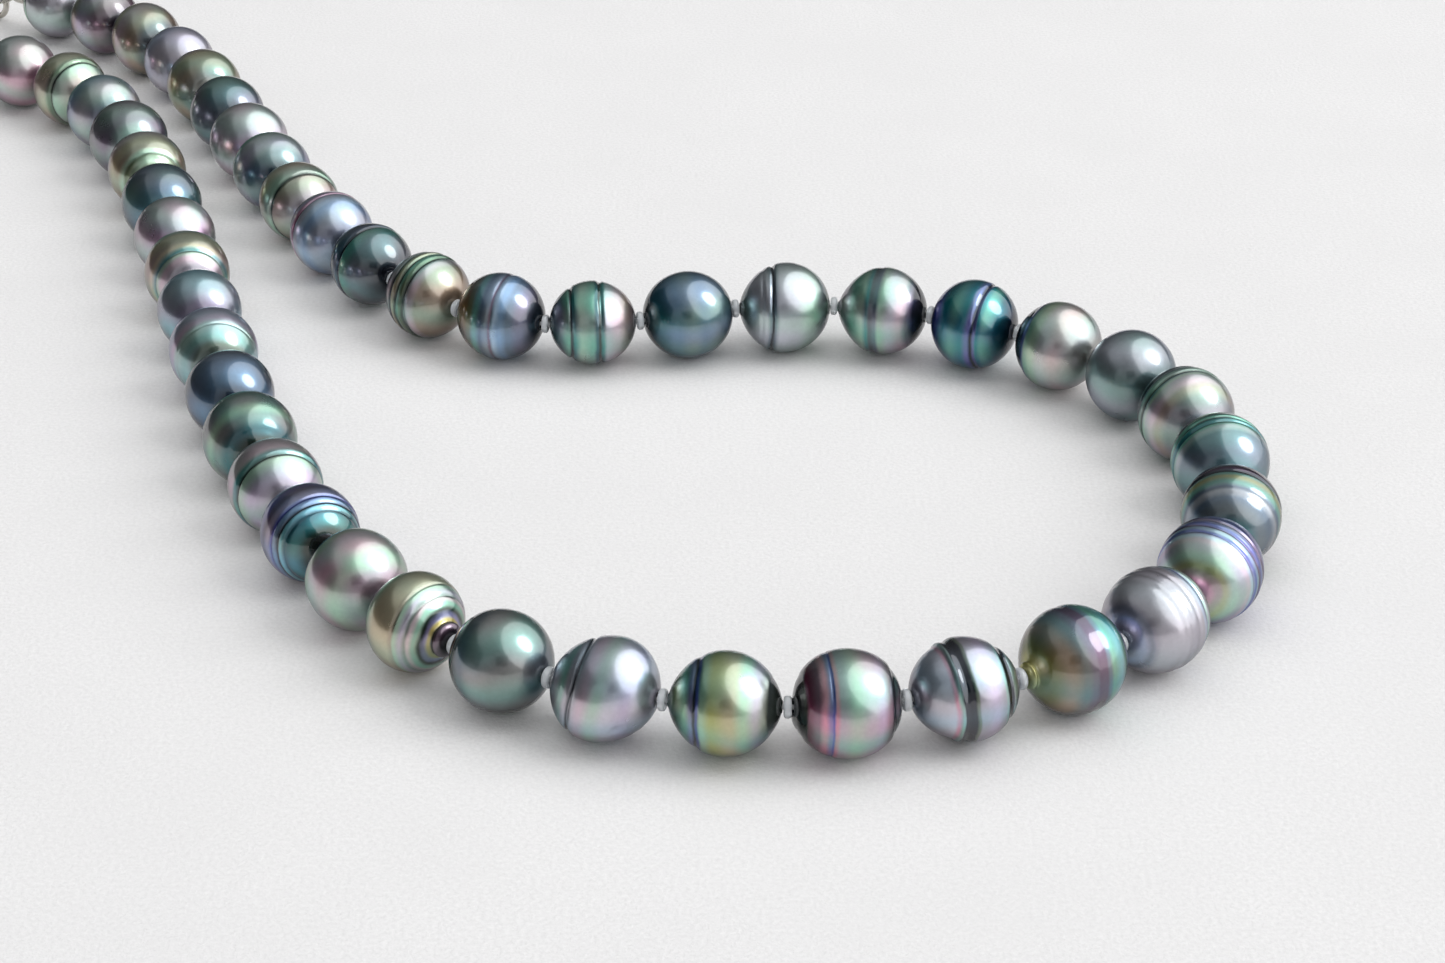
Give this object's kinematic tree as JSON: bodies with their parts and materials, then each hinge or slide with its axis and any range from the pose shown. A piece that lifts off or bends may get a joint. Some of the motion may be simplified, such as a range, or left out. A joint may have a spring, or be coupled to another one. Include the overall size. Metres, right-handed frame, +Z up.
{
  "type": "pearl necklace",
  "caption": "Necklace of dark round and circled pearls on one thread with soft spacer rings and a lobster clasp, unfastened and laid flat in a loop.",
  "frame": {"origin": "on the surface it lies on, under the middle of the whole necklace's bounding box", "axes": "+Z up from the surface; the loop's round end points to +X and -Y, and both strand ends lie towards -X and +Y"},
  "size_m": [0.1698, 0.1814, 0.0092],
  "materials": {
    "silver_pearl": "smooth nacre, silver grey with pink and green overtones, bright soft lustre",
    "champagne_pearl": "smooth nacre, warm champagne grey with green and rose overtones",
    "blue_pearl": "smooth nacre, steel blue grey with cyan and violet overtones",
    "peacock_pearl": "smooth nacre, green and teal with dark rings",
    "aubergine_pearl": "smooth nacre, plum grey with green ends",
    "dark_pearl": "smooth nacre, dark green grey, bright soft lustre",
    "clear_silicone": "clear soft silicone spacers on a clear thread",
    "white_gold": "polished rhodium-plated white metal",
    "spring_steel": "drawn steel wire"
  },
  "bodies": {
    "pearl_01": {"pearl_01": "silver_pearl"},
    "pearl_02": {"pearl_02": "silver_pearl"},
    "pearl_03": {"pearl_03": "champagne_pearl"},
    "pearl_04": {"pearl_04": "blue_pearl"},
    "pearl_05": {"pearl_05": "aubergine_pearl"},
    "pearl_06": {"pearl_06": "champagne_pearl"},
    "pearl_07": {"pearl_07": "peacock_pearl"},
    "pearl_08": {"pearl_08": "silver_pearl"},
    "pearl_09": {"pearl_09": "champagne_pearl"},
    "pearl_10": {"pearl_10": "blue_pearl"},
    "pearl_11": {"pearl_11": "peacock_pearl"},
    "pearl_12": {"pearl_12": "aubergine_pearl"},
    "pearl_13": {"pearl_13": "peacock_pearl"},
    "pearl_14": {"pearl_14": "silver_pearl"},
    "pearl_15": {"pearl_15": "dark_pearl"},
    "pearl_16": {"pearl_16": "silver_pearl"},
    "pearl_17": {"pearl_17": "champagne_pearl"},
    "pearl_18": {"pearl_18": "dark_pearl"},
    "pearl_19": {"pearl_19": "silver_pearl"},
    "pearl_20": {"pearl_20": "champagne_pearl"},
    "pearl_21": {"pearl_21": "peacock_pearl"},
    "pearl_22": {"pearl_22": "silver_pearl"},
    "pearl_23": {"pearl_23": "aubergine_pearl"},
    "pearl_24": {"pearl_24": "silver_pearl"},
    "pearl_25": {"pearl_25": "blue_pearl", "thread_and_spacers": "clear_silicone"},
    "pearl_26": {"pearl_26": "dark_pearl"},
    "pearl_27": {"pearl_27": "blue_pearl"},
    "pearl_28": {"pearl_28": "silver_pearl"},
    "pearl_29": {"pearl_29": "dark_pearl"},
    "pearl_30": {"pearl_30": "silver_pearl"},
    "pearl_31": {"pearl_31": "peacock_pearl"},
    "pearl_32": {"pearl_32": "champagne_pearl"},
    "pearl_33": {"pearl_33": "blue_pearl"},
    "pearl_34": {"pearl_34": "dark_pearl"},
    "pearl_35": {"pearl_35": "peacock_pearl"},
    "pearl_36": {"pearl_36": "aubergine_pearl"},
    "pearl_37": {"pearl_37": "dark_pearl"},
    "pearl_38": {"pearl_38": "peacock_pearl"},
    "pearl_39": {"pearl_39": "blue_pearl"},
    "pearl_40": {"pearl_40": "champagne_pearl"},
    "pearl_41": {"pearl_41": "dark_pearl"},
    "pearl_42": {"pearl_42": "silver_pearl"},
    "pearl_43": {"pearl_43": "peacock_pearl"},
    "pearl_44": {"pearl_44": "champagne_pearl"},
    "pearl_45": {"pearl_45": "silver_pearl"},
    "pearl_46": {"pearl_46": "champagne_pearl"},
    "pearl_47": {"pearl_47": "aubergine_pearl"},
    "pearl_48": {"pearl_48": "silver_pearl"},
    "clasp_end": {"crimp_tube_a": "white_gold", "wire_coil_guard_a": "white_gold"},
    "ring_end": {"crimp_tube_b": "white_gold", "wire_coil_guard_b": "white_gold"},
    "jump_ring": {"clasp_jump_ring": "white_gold"},
    "end_ring": {"end_ring": "white_gold"},
    "claw": {"claw_body": "white_gold", "lever_pin": "white_gold", "lever_spring": "spring_steel"},
    "lever": {"claw_lever": "white_gold"}
  },
  "joints": [
    {"name": "lever_turn", "type": "hinge", "parent": "claw", "child": "lever", "pos_m": [-0.07657, 0.06468, 0.00156], "axis": [0, 0, 1], "range_deg": [0, 18], "stiffness_Nm_per_rad": 0.01, "springref_deg": -17.19, "deforming": ["lever_spring"]},
    {"name": "claw_swing", "type": "hinge", "parent": "jump_ring", "child": "claw", "pos_m": [-0.07311, 0.0628, 0.00166], "axis": [0, 0, 1], "range_deg": [-40, 40]},
    {"name": "jump_ring_swing", "type": "hinge", "parent": "clasp_end", "child": "jump_ring", "pos_m": [-0.06932, 0.06223, 0.00336], "axis": [0, 0, 1], "range_deg": [-30, 30]},
    {"name": "clasp_end_swing", "type": "hinge", "parent": "pearl_01", "child": "clasp_end", "pos_m": [-0.06417, 0.06146, 0.00436], "axis": [0, 0, 1], "range_deg": [-20, 20], "deforming": ["thread_and_spacers"]},
    {"name": "end_ring_swing", "type": "hinge", "parent": "ring_end", "child": "end_ring", "pos_m": [-0.05919, 0.08797, 0.00336], "axis": [0, 0, 1], "range_deg": [-50, 50]},
    {"name": "ring_end_swing", "type": "hinge", "parent": "pearl_48", "child": "ring_end", "pos_m": [-0.05495, 0.08497, 0.00436], "axis": [0, 0, 1], "range_deg": [-20, 20], "deforming": ["thread_and_spacers"]},
    {"name": "flex_24_25", "type": "hinge", "parent": "pearl_25", "child": "pearl_24", "pos_m": [0.07434, -0.06984, 0.00461], "axis": [0, 0, 1], "range_deg": [0, 16], "deforming": ["thread_and_spacers"]},
    {"name": "flex_25_26", "type": "hinge", "parent": "pearl_25", "child": "pearl_26", "pos_m": [0.07893, -0.06054, 0.00461], "axis": [0, 0, -1], "range_deg": [0, 15], "deforming": ["thread_and_spacers"]},
    {"name": "flex_23_24", "type": "hinge", "parent": "pearl_24", "child": "pearl_23", "pos_m": [0.06739, -0.07725, 0.00459], "axis": [0, 0, 1], "range_deg": [0, 14], "deforming": ["thread_and_spacers"]},
    {"name": "flex_26_27", "type": "hinge", "parent": "pearl_26", "child": "pearl_27", "pos_m": [0.0808, -0.05024, 0.00459], "axis": [0, 0, -1], "range_deg": [0, 14], "deforming": ["thread_and_spacers"]},
    {"name": "flex_22_23", "type": "hinge", "parent": "pearl_23", "child": "pearl_22", "pos_m": [0.05882, -0.08267, 0.00451], "axis": [0, 0, 1], "range_deg": [0, 13], "deforming": ["thread_and_spacers"]},
    {"name": "flex_27_28", "type": "hinge", "parent": "pearl_27", "child": "pearl_28", "pos_m": [0.07999, -0.0402, 0.00464], "axis": [0, 0, -1], "range_deg": [0, 12], "deforming": ["thread_and_spacers"]},
    {"name": "flex_21_22", "type": "hinge", "parent": "pearl_22", "child": "pearl_21", "pos_m": [0.04948, -0.08577, 0.00446], "axis": [0, 0, 1], "range_deg": [0, 12], "deforming": ["thread_and_spacers"]},
    {"name": "flex_28_29", "type": "hinge", "parent": "pearl_28", "child": "pearl_29", "pos_m": [0.07714, -0.03102, 0.00461], "axis": [0, 0, -1], "range_deg": [0, 18], "deforming": ["thread_and_spacers"]},
    {"name": "flex_20_21", "type": "hinge", "parent": "pearl_21", "child": "pearl_20", "pos_m": [0.04, -0.08679, 0.00444], "axis": [0, 0, 1], "range_deg": [0, 12], "deforming": ["thread_and_spacers"]},
    {"name": "flex_29_30", "type": "hinge", "parent": "pearl_29", "child": "pearl_30", "pos_m": [0.0717, -0.02335, 0.00454], "axis": [0, 0, -1], "range_deg": [0, 16], "deforming": ["thread_and_spacers"]},
    {"name": "flex_19_20", "type": "hinge", "parent": "pearl_20", "child": "pearl_19", "pos_m": [0.03006, -0.08572, 0.00444], "axis": [0, 0, 1], "range_deg": [0, 13], "deforming": ["thread_and_spacers"]},
    {"name": "flex_30_31", "type": "hinge", "parent": "pearl_30", "child": "pearl_31", "pos_m": [0.0644, -0.01758, 0.00456], "axis": [0, 0, -1], "range_deg": [0, 12], "deforming": ["thread_and_spacers"]},
    {"name": "flex_18_19", "type": "hinge", "parent": "pearl_19", "child": "pearl_18", "pos_m": [0.02081, -0.08239, 0.00446], "axis": [0, 0, 1], "range_deg": [0, 13], "deforming": ["thread_and_spacers"]},
    {"name": "flex_31_32", "type": "hinge", "parent": "pearl_31", "child": "pearl_32", "pos_m": [0.05583, -0.01344, 0.00461], "axis": [0, 0, -1], "range_deg": [0, 13], "deforming": ["thread_and_spacers"]},
    {"name": "flex_17_18", "type": "hinge", "parent": "pearl_18", "child": "pearl_17", "pos_m": [0.01289, -0.07723, 0.00441], "axis": [0, 0, 1], "range_deg": [0, 12], "deforming": ["thread_and_spacers"]},
    {"name": "flex_32_33", "type": "hinge", "parent": "pearl_32", "child": "pearl_33", "pos_m": [0.04614, -0.0113, 0.00464], "axis": [0, 0, -1], "range_deg": [0, 15], "deforming": ["thread_and_spacers"]},
    {"name": "flex_16_17", "type": "hinge", "parent": "pearl_17", "child": "pearl_16", "pos_m": [0.00628, -0.07059, 0.00446], "axis": [0, 0, 1], "range_deg": [0, 11], "deforming": ["thread_and_spacers"]},
    {"name": "flex_33_34", "type": "hinge", "parent": "pearl_33", "child": "pearl_34", "pos_m": [0.03612, -0.01177, 0.00459], "axis": [0, 0, -1], "range_deg": [0, 12], "deforming": ["thread_and_spacers"]},
    {"name": "flex_15_16", "type": "hinge", "parent": "pearl_16", "child": "pearl_15", "pos_m": [0.00093, -0.06259, 0.00449], "axis": [0, 0, 1], "range_deg": [0, 8], "deforming": ["thread_and_spacers"]},
    {"name": "flex_34_35", "type": "hinge", "parent": "pearl_34", "child": "pearl_35", "pos_m": [0.02652, -0.01444, 0.00446], "axis": [0, 0, -1], "range_deg": [0, 8], "deforming": ["thread_and_spacers"]},
    {"name": "flex_14_15", "type": "hinge", "parent": "pearl_15", "child": "pearl_14", "pos_m": [-0.00368, -0.05406, 0.00444], "axis": [0, 0, 1], "range_deg": [0, 8], "deforming": ["thread_and_spacers"]},
    {"name": "flex_35_36", "type": "hinge", "parent": "pearl_35", "child": "pearl_36", "pos_m": [0.01705, -0.01517, 0.00446], "axis": [0, 0, -1], "range_deg": [0, 8], "deforming": ["thread_and_spacers"]},
    {"name": "flex_13_14", "type": "hinge", "parent": "pearl_14", "child": "pearl_13", "pos_m": [-0.00742, -0.04511, 0.00446], "axis": [0, 0, 1], "range_deg": [0, 8], "deforming": ["thread_and_spacers"]},
    {"name": "flex_36_37", "type": "hinge", "parent": "pearl_36", "child": "pearl_37", "pos_m": [0.00793, -0.01167, 0.00456], "axis": [0, 0, -1], "range_deg": [0, 8], "deforming": ["thread_and_spacers"]},
    {"name": "flex_12_13", "type": "hinge", "parent": "pearl_13", "child": "pearl_12", "pos_m": [-0.01089, -0.03554, 0.00444], "axis": [0, 0, 1], "range_deg": [0, 8], "deforming": ["thread_and_spacers"]},
    {"name": "flex_37_38", "type": "hinge", "parent": "pearl_37", "child": "pearl_38", "pos_m": [0.00087, -0.00458, 0.00454], "axis": [0, 0, -1], "range_deg": [0, 8], "deforming": ["thread_and_spacers"]},
    {"name": "flex_11_12", "type": "hinge", "parent": "pearl_12", "child": "pearl_11", "pos_m": [-0.01387, -0.02639, 0.00441], "axis": [0, 0, 1], "range_deg": [0, 8], "deforming": ["thread_and_spacers"]},
    {"name": "flex_38_39", "type": "hinge", "parent": "pearl_38", "child": "pearl_39", "pos_m": [-0.00474, 0.00351, 0.00451], "axis": [0, 0, -1], "range_deg": [0, 8], "deforming": ["thread_and_spacers"]},
    {"name": "flex_10_11", "type": "hinge", "parent": "pearl_11", "child": "pearl_10", "pos_m": [-0.01685, -0.01658, 0.00441], "axis": [0, 0, 1], "range_deg": [0, 8], "deforming": ["thread_and_spacers"]},
    {"name": "flex_39_40", "type": "hinge", "parent": "pearl_39", "child": "pearl_40", "pos_m": [-0.00942, 0.01192, 0.00449], "axis": [0, 0, -1], "range_deg": [0, 8], "deforming": ["thread_and_spacers"]},
    {"name": "flex_09_10", "type": "hinge", "parent": "pearl_10", "child": "pearl_09", "pos_m": [-0.01954, -0.00751, 0.00444], "axis": [0, 0, 1], "range_deg": [0, 8], "deforming": ["thread_and_spacers"]},
    {"name": "flex_40_41", "type": "hinge", "parent": "pearl_40", "child": "pearl_41", "pos_m": [-0.01388, 0.02107, 0.00444], "axis": [0, 0, -1], "range_deg": [0, 8], "deforming": ["thread_and_spacers"]},
    {"name": "flex_08_09", "type": "hinge", "parent": "pearl_09", "child": "pearl_08", "pos_m": [-0.02233, 0.0022, 0.00446], "axis": [0, 0, 1], "range_deg": [0, 8], "deforming": ["thread_and_spacers"]},
    {"name": "flex_41_42", "type": "hinge", "parent": "pearl_41", "child": "pearl_42", "pos_m": [-0.01773, 0.02971, 0.00451], "axis": [0, 0, -1], "range_deg": [0, 8], "deforming": ["thread_and_spacers"]},
    {"name": "flex_07_08", "type": "hinge", "parent": "pearl_08", "child": "pearl_07", "pos_m": [-0.02513, 0.01133, 0.00444], "axis": [0, 0, 1], "range_deg": [0, 8], "deforming": ["thread_and_spacers"]},
    {"name": "flex_42_43", "type": "hinge", "parent": "pearl_42", "child": "pearl_43", "pos_m": [-0.02145, 0.03859, 0.00449], "axis": [0, 0, -1], "range_deg": [0, 8], "deforming": ["thread_and_spacers"]},
    {"name": "flex_06_07", "type": "hinge", "parent": "pearl_07", "child": "pearl_06", "pos_m": [-0.02821, 0.02078, 0.00444], "axis": [0, 0, 1], "range_deg": [0, 8], "deforming": ["thread_and_spacers"]},
    {"name": "flex_43_44", "type": "hinge", "parent": "pearl_43", "child": "pearl_44", "pos_m": [-0.0254, 0.04781, 0.00446], "axis": [0, 0, -1], "range_deg": [0, 8], "deforming": ["thread_and_spacers"]},
    {"name": "flex_05_06", "type": "hinge", "parent": "pearl_06", "child": "pearl_05", "pos_m": [-0.03157, 0.03031, 0.00449], "axis": [0, 0, 1], "range_deg": [0, 8], "deforming": ["thread_and_spacers"]},
    {"name": "flex_44_45", "type": "hinge", "parent": "pearl_44", "child": "pearl_45", "pos_m": [-0.02958, 0.05665, 0.00444], "axis": [0, 0, -1], "range_deg": [0, 8], "deforming": ["thread_and_spacers"]},
    {"name": "flex_04_05", "type": "hinge", "parent": "pearl_05", "child": "pearl_04", "pos_m": [-0.03556, 0.03932, 0.00451], "axis": [0, 0, 1], "range_deg": [0, 8], "deforming": ["thread_and_spacers"]},
    {"name": "flex_45_46", "type": "hinge", "parent": "pearl_45", "child": "pearl_46", "pos_m": [-0.03418, 0.065, 0.00444], "axis": [0, 0, -1], "range_deg": [0, 9], "deforming": ["thread_and_spacers"]},
    {"name": "flex_03_04", "type": "hinge", "parent": "pearl_04", "child": "pearl_03", "pos_m": [-0.0403, 0.04769, 0.00446], "axis": [0, 0, 1], "range_deg": [0, 8], "deforming": ["thread_and_spacers"]},
    {"name": "flex_46_47", "type": "hinge", "parent": "pearl_46", "child": "pearl_47", "pos_m": [-0.04034, 0.0728, 0.00446], "axis": [0, 0, -1], "range_deg": [0, 8], "deforming": ["thread_and_spacers"]},
    {"name": "flex_02_03", "type": "hinge", "parent": "pearl_03", "child": "pearl_02", "pos_m": [-0.04652, 0.0549, 0.00444], "axis": [0, 0, 1], "range_deg": [0, 8], "deforming": ["thread_and_spacers"]},
    {"name": "flex_47_48", "type": "hinge", "parent": "pearl_47", "child": "pearl_48", "pos_m": [-0.04723, 0.07951, 0.00439], "axis": [0, 0, -1], "range_deg": [0, 8], "deforming": ["thread_and_spacers"]},
    {"name": "flex_01_02", "type": "hinge", "parent": "pearl_02", "child": "pearl_01", "pos_m": [-0.05475, 0.06005, 0.00439], "axis": [0, 0, 1], "range_deg": [0, 8], "deforming": ["thread_and_spacers"]}
  ]
}
